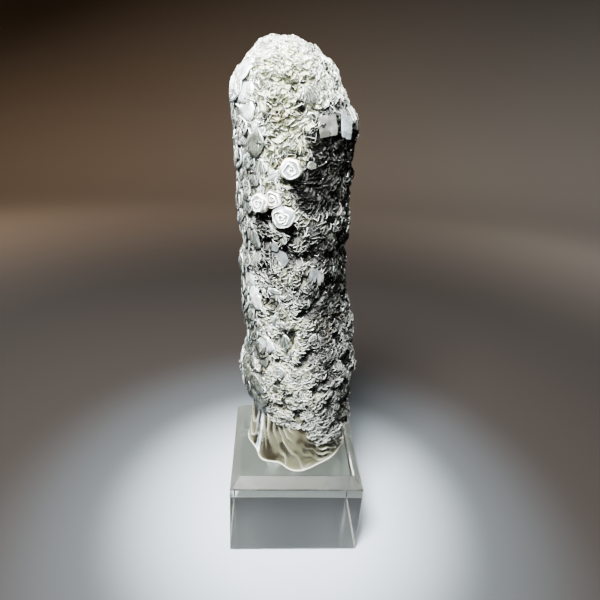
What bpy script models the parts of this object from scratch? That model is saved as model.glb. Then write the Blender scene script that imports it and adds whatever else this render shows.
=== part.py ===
"""A crystal-crusted quartz column standing on a bevelled block of clear acrylic.

Run with: blender --background --python part.py. Metres, +Z up, and -Y is the front.
The origin is the centre of the block's underside.

The column grew as one piece: a rounded, leaning finger of quartz with a bare fluted foot, and
a crust of thin plate crystals on all of it above the foot. Its plates are fused to the core.
The block is a separate machined piece, which the column's foot is stuck to.
"""

import math
import random

import bmesh
import bpy
from mathutils import Matrix, Vector, noise

# The block
BLOCK_SIDE = 0.050
BLOCK_HEIGHT = 0.035
BLOCK_BEVEL = 0.0036
BLOCK_EDGE_BREAK = 0.0003
SEAT_GAP = 0.0003  # the film of adhesive between the block and the foot

# The column's outside: height above the block, centre x and y, half width, half depth
COLUMN_ROWS = (
    (0.0060, 0.0062, 0.0020, 0.0150, 0.0160),
    (0.0120, 0.0052, 0.0016, 0.0172, 0.0178),
    (0.0170, 0.0028, 0.0014, 0.0187, 0.0186),
    (0.0210, 0.0014, 0.0012, 0.0193, 0.0190),
    (0.0280, -0.0005, 0.0010, 0.0212, 0.0196),
    (0.0375, -0.0007, 0.0010, 0.0225, 0.0200),
    (0.0460, -0.0003, 0.0008, 0.0202, 0.0194),
    (0.0570, -0.0014, 0.0006, 0.0202, 0.0192),
    (0.0660, -0.0034, 0.0004, 0.0194, 0.0188),
    (0.0740, -0.0040, 0.0002, 0.0181, 0.0181),
    (0.0790, -0.0048, 0.0002, 0.0193, 0.0185),
    (0.0840, -0.0044, 0.0001, 0.0175, 0.0180),
    (0.0910, -0.0047, 0.0000, 0.0189, 0.0182),
    (0.1000, -0.0058, 0.0000, 0.0187, 0.0186),
    (0.1087, -0.0056, -0.0001, 0.0191, 0.0184),
    (0.1160, -0.0063, -0.0002, 0.0191, 0.0180),
    (0.1243, -0.0058, -0.0004, 0.0199, 0.0179),
    (0.1310, -0.0086, -0.0005, 0.0183, 0.0166),
    (0.1374, -0.0096, -0.0006, 0.0159, 0.0146),
    (0.1410, -0.0092, -0.0006, 0.0132, 0.0122),
    (0.1450, -0.0100, -0.0006, 0.0086, 0.0082),
    (0.1475, -0.0118, -0.0006, 0.0040, 0.0040),
)
CORE_SIDES = 32
CORE_STEP = 0.0044
LUMPS = ((0.0018, 0.0080), (0.0022, 0.0031))  # height and spacing, broad lumps and small knobs

# The crust stands this deep on the core, and ends at a slanted line above the foot
CRUST_DEPTH = 0.0015
CRUST_END_HEIGHT = 0.0115
CRUST_END_SLOPE = -0.27  # rise per run, towards +X

# The foot: its outline on the block as angle in degrees and radius, and its flutes
FOOT_CENTRE = (0.0006, 0.0015)
FOOT_OUTLINE = (
    (-180, 0.0198),
    (-155, 0.0182),
    (-134, 0.0199),
    (-115, 0.0178),
    (-94, 0.0204),
    (-60, 0.0181),
    (-32, 0.0183),
    (0, 0.0196),
    (45, 0.0186),
    (90, 0.0192),
    (140, 0.0184),
    (180, 0.0198),
)
FOOT_HEIGHT = 0.0230
FOOT_NARROWING = 0.12  # share of the radius lost from the block to the top of the foot
FLUTE_DEPTH = 0.0013
FLUTES_ROUND = 3.2  # how fast the flutes come round the foot, and how fast they change up it
FLUTES_UP = 0.5
FLUTE_TWIST = 26.0  # degrees from the bottom to the top of the foot
FOOT_SIDES = 48
FOOT_LEVELS = (0.0, 0.3, 0.6, 1.0)

# The crust's plates are six-sided. Blades stand steeply, everywhere on the crust.
PLATE_ROW_SPACING = 0.0092
PLATE_SPACING = 0.0112
PLATE_THICKNESS = 0.0010
BLADE_RADIUS = (0.0034, 0.0046)
BLADE_TILT = (44, 88)  # degrees up from the surface

# Petals are plates that lie over each other like scales, down the left side
PETAL_SIDE = (-210, -132)  # azimuths
PETAL_RADIUS = (0.0036, 0.0048)
PETAL_TILT = (22, 46)
PETAL_TOP = 0.1350  # height above the block

# Rosettes: height above the block, azimuth in degrees, diameter
ROSETTES = (
    (0.1111, -96, 0.0060),
    (0.1010, -126, 0.0056),
    (0.1036, -113, 0.0058),
    (0.0978, -102, 0.0074),
    (0.0998, -40, 0.0052),
    (0.0766, -94, 0.0052),
    (0.0792, -68, 0.0056),
)
ROSETTE_SIDES = 10

# Slabs are the widest plates, showing their flat faces: height, azimuth, width, length, tilt
SLABS = (
    (0.1314, -138, 0.0078, 0.0080, 16),
    (0.1262, -141, 0.0074, 0.0064, -12),
    (0.1203, -128, 0.0048, 0.0090, 10),
    (0.1180, -142, 0.0046, 0.0050, -8),
    (0.1250, -66, 0.0070, 0.0052, 12),
    (0.1244, -44, 0.0036, 0.0058, -6),
    (0.1319, -72, 0.0058, 0.0044, 18),
    (0.0858, -108, 0.0056, 0.0050, 14),
    (0.0514, -131, 0.0066, 0.0058, 12),
    (0.0590, -110, 0.0040, 0.0096, 8),
    (0.0441, -50, 0.0036, 0.0056, 4),
    (0.0396, -163, 0.0040, 0.0090, 8),
    (0.0378, -121, 0.0080, 0.0036, 24),
)

SLAB_STACK = ((1.0, 0.0007), (0.75, 0.0019))  # share of its size, depth under the outside

rng = random.Random(12)


def between(limits):
    return rng.uniform(*limits)


def row_at(height):
    """Centre x and y, half width and half depth of the column at a height above the block."""
    for low, high in zip(COLUMN_ROWS, COLUMN_ROWS[1:]):
        if height <= high[0]:
            share = max(0.0, (height - low[0]) / (high[0] - low[0]))
            return [a + (b - a) * share for a, b in zip(low[1:], high[1:])]
    return COLUMN_ROWS[-1][1:]


def outside(height, azimuth):
    """The point of the column's outside at a height above the block and an azimuth in degrees."""
    x, y, half_width, half_depth = row_at(height)
    angle = math.radians(azimuth)
    ring = Vector((x + half_width * math.cos(angle), y + half_depth * math.sin(angle), 0))
    return ring + Vector((0, 0, BLOCK_HEIGHT + height))


def outward(height, azimuth):
    """The column's outward normal there, with the outline's small steps smoothed away."""
    reach, turn = 0.006, 5.0
    low = max(height - reach, COLUMN_ROWS[0][0])
    high = min(height + reach, COLUMN_ROWS[-1][0])
    up = outside(high, azimuth) - outside(low, azimuth)
    round_it = outside(height, azimuth + turn) - outside(height, azimuth - turn)
    return round_it.cross(up).normalized()


def stand(height, azimuth, depth, spin=0.0, tilt=0.0):
    """A frame on the column: Z outward, X level, Y up the column, sunk by depth, then spun
    about Z and tilted about its own X, both in degrees."""
    z = outward(height, azimuth)
    x = Vector((0, 0, 1)).cross(z)
    x = x.normalized() if x.length > 0.1 else Vector((1, 0, 0))
    axes = Matrix((x, z.cross(x), z)).transposed().to_4x4()
    place = Matrix.Translation(outside(height, azimuth) - z * depth) @ axes
    return place @ Matrix.Rotation(math.radians(spin), 4, "Z") @ Matrix.Rotation(math.radians(tilt), 4, "X")


def material(name, colour, roughness, transmission=0.0):
    made = bpy.data.materials.new(name)
    made.use_nodes = True
    shader = made.node_tree.nodes["Principled BSDF"]
    shader.inputs["Base Color"].default_value = (*colour, 1.0)
    shader.inputs["Roughness"].default_value = roughness
    shader.inputs["Transmission Weight"].default_value = transmission
    shader.inputs["Metallic"].default_value = 0.0
    return made


def add_object(name, bm, finish=None):
    mesh = bpy.data.meshes.new(name)
    bm.to_mesh(mesh)
    bm.free()
    made = bpy.data.objects.new(name, mesh)
    bpy.context.scene.collection.objects.link(made)
    if finish:
        mesh.materials.append(finish)
    return made


def loft(bm, rings):
    """Closes a stack of rings of points, lowest first, into one solid."""
    edges = []
    for ring in rings:
        made = bmesh.ops.create_circle(bm, segments=len(ring), radius=1)["verts"]
        for vert, point in zip(made, ring):
            vert.co = point
        edges.append(list({edge for vert in made for edge in vert.link_edges}))
    for low, high in zip(edges, edges[1:]):
        bmesh.ops.bridge_loops(bm, edges=low + high)
    for end in (edges[0], edges[-1]):
        bmesh.ops.contextual_create(bm, geom=end)
    bmesh.ops.recalc_face_normals(bm, faces=bm.faces)


def make_core():
    """The quartz finger under the crust, with broad lumps, cut off on a slant above the foot."""
    bottom, top = COLUMN_ROWS[0][0], COLUMN_ROWS[-1][0]
    steps = round((top - bottom) / CORE_STEP)
    rings = []
    for step in range(steps + 1):
        height = bottom + (top - bottom) * step / steps
        ring = []
        for side in range(CORE_SIDES):
            azimuth = 360.0 * side / CORE_SIDES
            point = outside(height, azimuth)
            lump = sum(size * noise.noise(point / spacing) for size, spacing in LUMPS)
            ring.append(point + outward(height, azimuth) * (lump - CRUST_DEPTH))
        rings.append(ring)
    bm = bmesh.new()
    loft(bm, rings)
    cut = bmesh.ops.bisect_plane(
        bm,
        geom=bm.verts[:] + bm.edges[:] + bm.faces[:],
        plane_co=(0, 0, BLOCK_HEIGHT + CRUST_END_HEIGHT),
        plane_no=(-CRUST_END_SLOPE, 0, 1),
        clear_inner=True,
    )
    rim = [piece for piece in cut["geom_cut"] if isinstance(piece, bmesh.types.BMEdge)]
    bmesh.ops.contextual_create(bm, geom=rim)
    bmesh.ops.recalc_face_normals(bm, faces=bm.faces)
    return bm


def foot_radius(angle):
    """The foot's radius on the block, eased between the points of its outline."""
    for (first, a), (second, b) in zip(FOOT_OUTLINE, FOOT_OUTLINE[1:]):
        if angle <= second:
            share = (angle - first) / (second - first)
            return a + (b - a) * (1 - math.cos(math.pi * share)) / 2
    return FOOT_OUTLINE[-1][1]


def make_foot():
    """The bare foot: a short stub with slanting flutes, narrowing upward into the crust."""
    rings = []
    for level in FOOT_LEVELS:
        ring = []
        for side in range(FOOT_SIDES):
            angle = -180 + 360.0 * side / FOOT_SIDES
            turn = math.radians(angle)
            twisted = math.radians(angle - FLUTE_TWIST * level)
            spot = Vector((math.cos(twisted), math.sin(twisted), 0)) * FLUTES_ROUND
            flute = noise.noise(spot + Vector((0, 0, FLUTES_UP * level)))
            radius = foot_radius(angle) * (1 - FOOT_NARROWING * level) + FLUTE_DEPTH * flute
            x = FOOT_CENTRE[0] + radius * math.cos(turn)
            y = FOOT_CENTRE[1] + radius * math.sin(turn)
            ring.append(Vector((x, y, BLOCK_HEIGHT + SEAT_GAP + FOOT_HEIGHT * level)))
        rings.append(ring)
    bm = bmesh.new()
    loft(bm, rings)
    return bm


def add_plate(bm, place, half_width, half_length, thickness, sides=6):
    """One flat six-sided crystal, its broad faces square to the place's Z."""
    size = Matrix.Diagonal((half_width, half_length, thickness, 1))
    bmesh.ops.create_cone(
        bm, cap_ends=True, segments=sides, radius1=1, radius2=1, depth=1, matrix=place @ size
    )


def crust_end(azimuth):
    """Height above the block at which the crust ends."""
    return CRUST_END_HEIGHT + CRUST_END_SLOPE * 0.019 * math.cos(math.radians(azimuth))


def grid_places():
    """Heights and azimuths spread evenly over the crust, each a little off its row."""
    top = COLUMN_ROWS[-1][0]
    height = CRUST_END_HEIGHT * 0.5
    while height < top:
        _, _, half_width, half_depth = row_at(height)
        count = max(3, round(math.pi * (half_width + half_depth) / PLATE_SPACING))
        start = between((0, 360))
        for step in range(count):
            azimuth = start + 360.0 * step / count + between((-6, 6))
            azimuth = (azimuth + 210) % 360 - 210
            jittered = height + PLATE_ROW_SPACING * between((-0.28, 0.28))
            if crust_end(azimuth) + 0.001 < jittered < top - 0.0005:
                yield jittered, azimuth
        slope = 1.0 if height < 0.137 else 0.45
        height += PLATE_ROW_SPACING * slope


def near_feature(height, azimuth):
    """Whether a rosette or a slab already stands there."""
    point = outside(height, azimuth)
    for feature in ROSETTES + SLABS:
        if (outside(feature[0], feature[1]) - point).length < 0.0042:
            return True
    return False


def make_plates():
    """Blades and petals: each leans up from the surface, and its rim just reaches the outside."""
    bm = bmesh.new()
    for height, azimuth in grid_places():
        if near_feature(height, azimuth):
            continue
        if PETAL_SIDE[0] < azimuth < PETAL_SIDE[1] and height < PETAL_TOP:
            radius, tilt, spin = between(PETAL_RADIUS), between(PETAL_TILT), between((-40, 40))
        else:
            radius, tilt, spin = between(BLADE_RADIUS), between(BLADE_TILT), between((0, 360))
        place = stand(height, azimuth, radius * math.sin(math.radians(tilt)), spin, tilt)
        add_plate(bm, place, radius * between((0.85, 1.15)), radius, PLATE_THICKNESS)
    return bm


def make_slabs(bm):
    """Each slab is the outermost of a short stack of plates that reaches down to the core."""
    for height, azimuth, width, length, tilt in SLABS:
        for layer, (share, depth) in enumerate(SLAB_STACK):
            place = stand(height, azimuth, depth, spin=between((-12, 12)) + 30 * layer, tilt=tilt)
            add_plate(bm, place, width / 2 * share, length / 2 * share, PLATE_THICKNESS * 1.5)


def make_rosettes(bm):
    """Cups of plates wrapped round each other, as a short drum with a ring groove in its face."""
    for height, azimuth, diameter in ROSETTES:
        radius = diameter / 2
        place = stand(height, azimuth, radius * 0.62)
        drum = bmesh.ops.create_cone(
            bm,
            cap_ends=True,
            segments=ROSETTE_SIDES,
            radius1=radius * 0.75,
            radius2=radius,
            depth=radius * 1.5,
            matrix=place,
        )["verts"]
        normal = place.to_3x3() @ Vector((0, 0, 1))
        faces = {face for vert in drum for face in vert.link_faces}
        face = max(faces, key=lambda f: (f.calc_center_median() - place.translation).dot(normal))
        for width, rise in ((0.16, 0.0), (0.10, -0.30), (0.16, 0.0), (0.10, 0.34), (0.18, 0.0), (0.06, -0.24)):
            bmesh.ops.inset_individual(bm, faces=[face], thickness=radius * width)
            bmesh.ops.translate(bm, verts=face.verts[:], vec=normal * radius * rise)


def fuse(base, others):
    """Joins closed shapes into one solid and bakes the result into the base object."""
    for other in others:
        joint = base.modifiers.new("fuse", "BOOLEAN")
        joint.operation = "UNION"
        joint.solver = "EXACT"
        joint.use_self = True
        joint.object = other
    bpy.context.view_layer.update()
    evaluated = base.evaluated_get(bpy.context.evaluated_depsgraph_get())
    whole = bpy.data.meshes.new_from_object(evaluated)
    base.modifiers.clear()
    base.data = whole
    for other in others:
        bpy.data.objects.remove(other)


def make_column():
    quartz = material("crusted_quartz", (0.74, 0.75, 0.72), 0.45)
    column = add_object("quartz_column", make_core(), quartz)
    foot = add_object("foot", make_foot(), quartz)
    crust = make_plates()
    make_slabs(crust)
    make_rosettes(crust)
    fuse(column, [foot, add_object("crust", crust, quartz)])


def make_block():
    """The block: a slanted bevel round its top face, and its other edges just broken."""
    bm = bmesh.new()
    bmesh.ops.create_cube(
        bm,
        size=1,
        matrix=Matrix.Translation((0, 0, BLOCK_HEIGHT / 2))
        @ Matrix.Diagonal((BLOCK_SIDE, BLOCK_SIDE, BLOCK_HEIGHT, 1)),
    )
    top = [e for e in bm.edges if all(v.co.z > BLOCK_HEIGHT * 0.9 for v in e.verts)]
    bmesh.ops.bevel(
        bm, geom=top, offset=BLOCK_BEVEL, affect="EDGES", segments=1, profile=0.5, material=-1
    )
    bmesh.ops.bevel(
        bm,
        geom=bm.edges[:],
        offset=BLOCK_EDGE_BREAK,
        affect="EDGES",
        segments=1,
        profile=0.5,
        material=-1,
    )
    add_object("acrylic_block", bm, material("clear_acrylic", (0.93, 0.95, 0.93), 0.04, 0.9))


for leftover in list(bpy.data.objects):
    bpy.data.objects.remove(leftover)
make_column()
make_block()
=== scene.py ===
import math

import bmesh
import bpy
import numpy as np
from mathutils import Matrix, Vector, kdtree, noise


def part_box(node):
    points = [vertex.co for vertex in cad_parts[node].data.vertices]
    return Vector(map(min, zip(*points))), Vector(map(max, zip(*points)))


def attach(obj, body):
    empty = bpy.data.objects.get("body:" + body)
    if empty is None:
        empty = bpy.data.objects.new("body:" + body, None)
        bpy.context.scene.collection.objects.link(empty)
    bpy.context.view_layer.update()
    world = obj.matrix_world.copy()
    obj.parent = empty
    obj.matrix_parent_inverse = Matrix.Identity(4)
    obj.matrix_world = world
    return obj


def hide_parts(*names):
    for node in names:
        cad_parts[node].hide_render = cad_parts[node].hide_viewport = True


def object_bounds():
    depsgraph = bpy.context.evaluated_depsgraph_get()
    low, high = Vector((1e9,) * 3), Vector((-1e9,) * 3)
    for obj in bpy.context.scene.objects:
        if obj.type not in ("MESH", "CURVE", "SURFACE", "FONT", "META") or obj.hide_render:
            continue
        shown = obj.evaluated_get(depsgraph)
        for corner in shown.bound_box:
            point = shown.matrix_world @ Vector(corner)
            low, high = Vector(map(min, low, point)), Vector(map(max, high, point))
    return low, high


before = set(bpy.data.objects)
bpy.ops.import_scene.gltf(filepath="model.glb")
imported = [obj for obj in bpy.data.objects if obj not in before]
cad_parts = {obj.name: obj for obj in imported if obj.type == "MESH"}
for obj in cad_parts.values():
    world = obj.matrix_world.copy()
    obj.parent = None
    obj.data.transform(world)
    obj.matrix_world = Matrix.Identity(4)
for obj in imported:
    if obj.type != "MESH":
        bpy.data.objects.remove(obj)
cad_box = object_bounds()

# ---------------------------------------------------------------------------------------------
# The camera. It stands a little above the column's middle and close by, looks down on it, and
# is tilted by a few degrees, so that the column leans the way a hand-held camera shows it.

MM = 0.001  # a millimetre, in metres
CAMERA_PLACE = (-14.1 * MM, -160.9 * MM, 172.6 * MM)
CAMERA_LENS = 29.57  # millimetres, as is the width of the sensor
CAMERA_SENSOR = 36
CAMERA_DOWN = math.radians(24.87)
CAMERA_TURN = math.radians(-4.47)
CAMERA_ROLL = math.radians(3.61)

camera = bpy.data.objects.new("camera", bpy.data.cameras.new("camera"))
camera.data.lens = CAMERA_LENS
camera.data.sensor_width = CAMERA_SENSOR
camera.data.clip_start = 5 * MM
camera.matrix_world = (
    Matrix.Translation(CAMERA_PLACE)
    @ Matrix.Rotation(CAMERA_TURN, 4, "Z")
    @ Matrix.Rotation(math.pi / 2 - CAMERA_DOWN, 4, "X")
    @ Matrix.Rotation(CAMERA_ROLL, 4, "Z")
)
bpy.context.scene.collection.objects.link(camera)
bpy.context.scene.camera = camera

# ---------------------------------------------------------------------------------------------
# The matrix: the rock between the crystals. Grey and olive silica with black manganese in it,
# it grew as a leaning finger. The crust covers it in florets, so its surface is all low humps.

rng = np.random.default_rng(20)
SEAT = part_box("acrylic_block")[1].z  # the block's top, where heights on the column start
SEAM = -210  # azimuths run from here once round. -180 is the left, -90 the front, 0 the right

# Height above the block, centre x and y, half width and half depth, in millimetres
COLUMN_ROWS = np.array([
    (6.0, 6.2, 2.0, 15.0, 16.0),
    (12.0, 5.2, 1.6, 17.2, 17.8),
    (17.0, 2.8, 1.4, 18.7, 18.6),
    (21.0, 1.4, 1.2, 19.3, 19.0),
    (28.0, -0.5, 1.0, 21.2, 19.6),
    (37.5, -0.7, 1.0, 22.5, 20.0),
    (46.0, -0.3, 0.8, 20.2, 19.4),
    (57.0, -1.4, 0.6, 20.2, 19.2),
    (66.0, -3.4, 0.4, 19.4, 18.8),
    (74.0, -4.0, 0.2, 18.1, 18.1),
    (79.0, -4.8, 0.2, 19.3, 18.5),
    (84.0, -4.4, 0.1, 17.5, 18.0),
    (91.0, -4.7, 0.0, 18.9, 18.2),
    (100.0, -5.8, 0.0, 18.7, 18.6),
    (108.7, -5.6, -0.1, 19.1, 18.4),
    (116.0, -6.3, -0.2, 19.1, 18.0),
    (124.3, -5.8, -0.4, 19.9, 17.9),
    (131.0, -8.6, -0.5, 18.3, 16.6),
    (137.4, -9.6, -0.6, 15.9, 14.6),
    (141.0, -9.2, -0.6, 13.2, 12.2),
    (145.0, -10.0, -0.6, 8.6, 8.2),
    (147.0, -11.8, -0.6, 4.0, 4.0),
    (147.3, -11.8, -0.6, 0.5, 0.5),
]) * MM
DOME_START = 136 * MM
DOME_MIDDLE = (-10.5 * MM, -0.6 * MM, 131 * MM)  # x, y and height above the block
# Where the crust ends: azimuth, and height above the block in millimetres
CRUST_ENDS = np.array([
    (-210, 13.0),
    (-180, 15.0),
    (-150, 13.5),
    (-125, 9.4),
    (-100, 9.8),
    (-80, 8.2),
    (-60, 9.6),
    (-38, 12.8),
    (0, 12.6),
    (60, 9.5),
    (110, 10.5),
    (150, 13.0),
])
FLORET_SPACING = 5.6 * MM
FLORET_JITTER = 0.36  # how far a floret's middle is moved, as a share of the spacing
FLORETS_START = 9 * MM
FLORET_HUMP = 0.8 * MM  # how far the valleys between florets lie under their middles
FLORET_SLOPE = (0.15 * FLORET_SPACING, 0.72 * FLORET_SPACING)  # from its middle, where it falls
BLADE_REACH = 1.3 * MM  # how far a blade stands out of the matrix


def row_at(height):
    """Centre x and y, half width and half depth of the column at heights above the block."""
    return [np.interp(height, COLUMN_ROWS[:, 0], COLUMN_ROWS[:, n]) for n in range(1, 5)]


def outside(height, azimuth):
    """Points of the column's outside at heights above the block and azimuths in degrees."""
    x, y, half_width, half_depth = row_at(height)
    angle = np.radians(azimuth)
    return np.stack(
        [x + half_width * np.cos(angle), y + half_depth * np.sin(angle), SEAT + height], -1
    )


def unit(vectors):
    """The vectors at length 1."""
    return vectors / np.maximum(np.linalg.norm(vectors, axis=-1, keepdims=True), 1e-12)


def outward(height, azimuth):
    """The outside's normals there, with the small steps between its rows smoothed away."""
    reach, turn = 4 * MM, 5.0  # how far up and round it looks, in metres and degrees
    low = np.maximum(height - reach, COLUMN_ROWS[0, 0])
    high = np.minimum(height + reach, COLUMN_ROWS[-1, 0])
    up = outside(high, azimuth) - outside(low, azimuth)
    round_it = outside(height, azimuth + turn) - outside(height, azimuth - turn)
    dome = np.clip((height - DOME_START) / (COLUMN_ROWS[-1, 0] - DOME_START), 0, 1)[..., None]
    from_middle = unit(outside(height, azimuth) - np.array([*DOME_MIDDLE[:2], SEAT + DOME_MIDDLE[2]]))
    return unit(unit(np.cross(round_it, up)) * (1 - dome) + from_middle * dome)


def eased(value, low, high):
    """0 below low, 1 above high, and smooth between them."""
    share = np.clip((value - low) / (high - low), 0, 1)
    return share * share * (3 - 2 * share)


def eased_through(rows, value):
    """A row's second number at its first number, and smooth between the rows."""
    after = np.clip(np.searchsorted(rows[:, 0], value), 1, len(rows) - 1)
    (first, a), (second, b) = rows[after - 1].T, rows[after].T
    return a + (b - a) * eased(value, first, second)


def crust_end(azimuth):
    """Height above the block at which the crust ends."""
    return eased_through(CRUST_ENDS, (azimuth - SEAM) % 360 + SEAM) * MM


# How far along the outside each height is, counted up the column and over its top
steps = np.linspace(COLUMN_ROWS[0, 0], COLUMN_ROWS[-1, 0], 1200)
mean_radius = (row_at(steps)[2] + row_at(steps)[3]) / 2
climb = np.concatenate([[0], np.cumsum(np.hypot(np.diff(steps), np.diff(mean_radius)))])


def spread(spacing, jitter, first):
    """Heights and azimuths in rows at an even spacing along the outside, each moved a little."""
    heights, azimuths = [], []
    for at in np.arange(np.interp(first, steps, climb), climb[-1], spacing):
        count = max(2, round(2 * math.pi * np.interp(at, climb, mean_radius) / spacing))
        turns = np.arange(count) + rng.uniform(0, 1) + rng.uniform(-jitter, jitter, count)
        moved = at + spacing * rng.uniform(-jitter, jitter, count)
        heights.append(np.interp(moved, climb, steps))
        azimuths.append(360 * turns / count % 360 + SEAM)
    return np.concatenate(heights), np.concatenate(azimuths)


def where(points):
    """Heights above the block and azimuths, counted from the seam, of points near the outside."""
    height = points[:, 2] - SEAT
    x, y, half_width, half_depth = row_at(height)
    azimuth = np.degrees(np.arctan2((points[:, 1] - y) / half_depth, (points[:, 0] - x) / half_width))
    return height, (azimuth - SEAM) % 360 + SEAM


floret_height, floret_azimuth = spread(FLORET_SPACING, FLORET_JITTER, FLORETS_START)
floret_middle = outside(floret_height, floret_azimuth)
floret_tree = kdtree.KDTree(len(floret_middle))
for number, middle in enumerate(floret_middle):
    floret_tree.insert(middle, number)
floret_tree.balance()


def nearest_floret(points):
    """The number of each point's floret, and the distance to its middle."""
    found = [floret_tree.find(point)[1:] for point in points]
    return np.array([n for n, _ in found]), np.array([d for _, d in found])


def hump(distance):
    """How far the crust's tips lie under the outside, away from a floret's middle."""
    return -FLORET_HUMP * eased(distance, *FLORET_SLOPE)


def ruffle(points, size, seed):
    """Smooth noise from about -1 to 1, with lumps of a size in metres."""
    shift = Vector((seed * 7.3, seed * 3.1, seed * 5.7))  # so that no two seeds look alike
    values = np.array([noise.noise(Vector(point / size) + shift) for point in points])
    return values * 1.6  # before this it swings by about 0.6 either way


# The dark side, black with manganese and darkened further by painted shade on the side away from
# the light: height above the block in millimetres, the azimuth where it starts, how dark it is
# from 0 to 1, and how dark the pale side is at that height, partly painted shade low on the column
DARK_ROWS = np.array([
    (14, -74, 0.80, 0.44),
    (22, -74, 0.84, 0.36),
    (32, -72, 0.80, 0.24),
    (38, -80, 0.72, 0.20),
    (57, -90, 0.78, 0.24),
    (66, -86, 0.90, 0.38),
    (71, -92, 1.00, 0.50),
    (77, -68, 0.95, 0.38),
    (84, -80, 1.00, 0.44),
    (92, -90, 0.92, 0.50),
    (97, -80, 0.64, 0.42),
    (101, -94, 0.92, 0.32),
    (106, -99, 1.00, 0.20),
    (111, -82, 1.00, 0.14),
    (122, -79, 1.00, 0.08),
    (127, -70, 0.85, 0.04),
    (131, -47, 0.50, 0.00),
    (136, -30, 0.10, 0.00),
])
DARK_EDGES = (38.0, 14.0)  # degrees over which it starts, low and high on the column
DARK_EDGE_CHANGE = (80 * MM, 100 * MM)  # the heights between which that changes
DARK_END = 25.0  # the azimuth where it fades out again, round the back
DARK_FADE = 30.0  # degrees before and after that over which it fades
PIT_SIZE = 6 * MM
PIT_DEPTH = 1.7 * MM
# How dark the pits are painted: painted shade in the hollows between the clumps
PIT_PAINTED_SHADE = 0.85
PIT_START, PIT_EDGE = 0.12, 0.45  # the noise where a pit starts, and how much more is its bottom
PIT_RARITY = 0.5  # added to the start high on the column
PIT_RARER = (95 * MM, 125 * MM)  # the heights over which it is added
EDGE_WANDER = 9  # degrees by which the edges of the dark side and of the strip wander
EDGE_FRAY = 7  # degrees by which single blades stray over the dark side's edge
PETALS_START = -222  # azimuth, round the back
# Where the petals' strip ends in front: height above the block in millimetres, and azimuth
PETALS_END = np.array([
    (14, -132),
    (32, -124),
    (44, -134),
    (54, -128),
    (63, -138),
    (80, -140),
    (96, -134),
    (106, -124),
    (124, -122),
    (132, -132),
    (140, -136),
])
STRIP_EDGE = 12.0  # degrees over which it starts and ends
STRIP_FOOT, STRIP_TOP = (14 * MM, 20 * MM), (132 * MM, 140 * MM)  # heights over which it does
STRIP_PAINTED_SHADE = 0.8  # how dark the crust is painted between the petals: painted shade between them on the dim left side
STRIP_PALER = (105 * MM, 125 * MM)  # the heights over which that falls by half
# The grey and olive patches on the left, high and low: the azimuths and the heights above the
# block in millimetres between which they lie, their slant in degrees a millimetre, how dark
GREY_PATCHES = (
    (-165, -113, 76, 97, 0.0, 0.74),
    (-170, -120, 24, 43, 1.2, 0.90),
)
# Half the width of their edges: left and right in degrees, above and below in millimetres
PATCH_LEFT, PATCH_RIGHT, PATCH_ENDS = 8, 6, 2


def pits(points):
    """From 0 to 1, how far points of the crust lie in the pits between its clumps."""
    height, _ = where(points)
    start = PIT_START + PIT_RARITY * eased(height, *PIT_RARER)
    lumps = ruffle(points, PIT_SIZE, 9) + 0.4 * ruffle(points, 0.4 * PIT_SIZE, 8)
    return eased(lumps, start, start + PIT_EDGE)


def petal_share(points):
    """From 0 to 1, how far points of the crust lie in the strip that the petals cover."""
    height, azimuth = where(points)
    azimuth = azimuth + EDGE_WANDER * ruffle(points, 8 * MM, 6)
    last = np.interp(height / MM, PETALS_END[:, 0], PETALS_END[:, 1])
    inside = eased(azimuth, PETALS_START, PETALS_START + STRIP_EDGE)
    inside = inside * (1 - eased(azimuth, last - STRIP_EDGE, last))
    return inside * (1 - eased(height, *STRIP_TOP)) * eased(height, *STRIP_FOOT)


def patch_grey(points):
    """How dark the crust is, from 0 to 1, at points of it, in the grey and olive patches."""
    height, azimuth = where(points)
    level, grey = height / MM, 0
    for left, right, low, high, slant, depth in GREY_PATCHES:
        end = right - slant * (level - low)
        side = eased(azimuth, left - PATCH_LEFT, left + PATCH_LEFT)
        side = side * (1 - eased(azimuth, end - PATCH_RIGHT, end + PATCH_RIGHT))
        rise = eased(level, low - PATCH_ENDS, low + PATCH_ENDS)
        rise = rise * (1 - eased(level, high - PATCH_ENDS, high + PATCH_ENDS))
        grey = np.maximum(grey, depth * side * rise)
    return grey


def darkness(points):
    """How dark the crust is, from 0 to 1, at points of it, off the petals' strip: manganese black, with
    painted shade on the side away from the light, low down and in the pits.
    """
    height, azimuth = where(points)
    start = np.interp(height / MM, DARK_ROWS[:, 0], DARK_ROWS[:, 1])
    depth = np.interp(height / MM, DARK_ROWS[:, 0], DARK_ROWS[:, 2])
    pale = np.interp(height / MM, DARK_ROWS[:, 0], DARK_ROWS[:, 3])
    ragged = azimuth + EDGE_WANDER * ruffle(points, 5 * MM, 1) + EDGE_FRAY * ruffle(points, 2 * MM, 2)
    edge = np.interp(height, DARK_EDGE_CHANGE, DARK_EDGES) / 2
    side = eased(ragged, start - edge, start + edge)
    back = 1 - eased(ragged, DARK_END - DARK_FADE, DARK_END + DARK_FADE)
    dark = np.maximum(np.maximum(depth * side * back, PIT_PAINTED_SHADE * pits(points)), pale)
    return np.maximum(dark, patch_grey(points))


def crust_darkness(points):
    """How dark the crust is, from 0 to 1, at points of it, with painted shade between the petals too."""
    grey = STRIP_PAINTED_SHADE * (1 - 0.5 * eased(points[:, 2] - SEAT, *STRIP_PALER))
    return np.maximum(darkness(points), grey * petal_share(points))


def linear(colour):
    """An sRGB hex colour as linear values."""
    values = [int(colour[n : n + 2], 16) / 255 for n in (1, 3, 5)]
    return [v / 12.92 if v <= 0.04045 else ((v + 0.055) / 1.055) ** 2.4 for v in values] + [1]


def new_material(name):
    """An empty node material, its node tree and its Principled shader."""
    made = bpy.data.materials.new(name)
    made.use_nodes = True
    return made, made.node_tree, made.node_tree.nodes["Principled BSDF"]


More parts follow.
